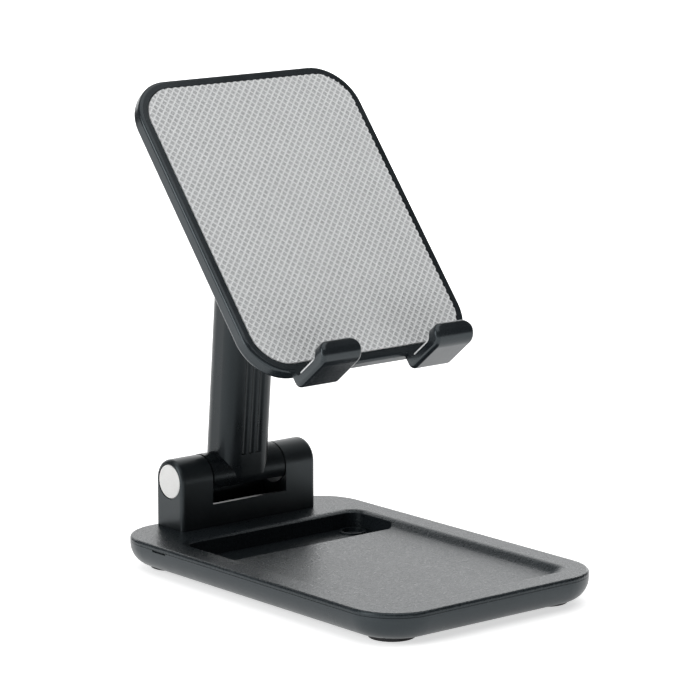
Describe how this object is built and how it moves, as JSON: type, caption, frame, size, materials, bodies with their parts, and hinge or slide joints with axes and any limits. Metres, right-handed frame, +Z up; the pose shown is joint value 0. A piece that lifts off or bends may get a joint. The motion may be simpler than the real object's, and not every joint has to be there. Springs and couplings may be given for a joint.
{
  "type": "phone stand",
  "caption": "Folding desk stand: a weighted base with a recess and a well, a hinged telescopic arm, and a tilting padded holder with hooks that carry a phone.",
  "frame": {"origin": "Middle of the base, on the plane of the foot pads.", "axes": "+X to the viewer's right, the holder faces -Y (the front), +Z up."},
  "size_m": [0.08, 0.122, 0.1378],
  "materials": {
    "shell": "fine-grained satin charcoal moulding",
    "arm_shell": "smooth satin charcoal moulding",
    "holder_shell": "satin charcoal moulding",
    "pad_silicone": "matte grey silicone with a small diamond grip pattern",
    "liner_silicone": "matte light silicone",
    "foot_rubber": "matte black rubber",
    "foam": "closed-cell foam",
    "cap_plastic": "matte light grey disc",
    "plate_steel": "plain cut steel plate",
    "fastener_steel": "plated steel",
    "washer_plastic": "slick nylon",
    "pole_metal": "dark anodised tube"
  },
  "bodies": {
    "base": {"base_bottom_tray": "shell", "base_top_cover": "shell", "ballast_plate": "plate_steel", "ballast_foam_strips": "foam", "foot_pads": "foot_rubber", "base_screws": "fastener_steel", "bracket_screws": "fastener_steel", "hinge_bracket": "shell", "hinge_cap_left": "cap_plastic", "hinge_cap_right": "cap_plastic", "hinge_bolt": "fastener_steel", "hinge_nut": "fastener_steel", "hinge_spring_washer": "fastener_steel", "hinge_friction_washers": "washer_plastic"},
    "arm": {"arm_sleeve": "arm_shell", "sleeve_collar": "arm_shell", "pole_stop_screw": "fastener_steel"},
    "pole": {"inner_pole": "pole_metal", "pole_friction_shoe": "washer_plastic", "pole_head": "pole_metal"},
    "holder": {"holder_front_frame": "holder_shell", "holder_rear_cover": "holder_shell", "silicone_pad": "pad_silicone", "hook_liner_left": "liner_silicone", "hook_liner_right": "liner_silicone", "tilt_pin": "fastener_steel", "tilt_pin_nut": "fastener_steel", "tilt_friction_washers": "washer_plastic", "holder_screws": "fastener_steel"}
  },
  "joints": [
    {"name": "base_fold", "type": "hinge", "parent": "base", "child": "arm", "pos_m": [0, 0.0537, 0.023], "axis": [1, 0, 0], "range_deg": [-10, 38]},
    {"name": "pole_slide", "type": "slide", "parent": "arm", "child": "pole", "axis": [0, -0.0849, 0.9964], "range_m": [0, 0.022]},
    {"name": "holder_tilt", "type": "hinge", "parent": "pole", "child": "holder", "pos_m": [0, 0.04622, 0.11078], "axis": [1, 0, 0], "range_deg": [-46, 44]}
  ]
}
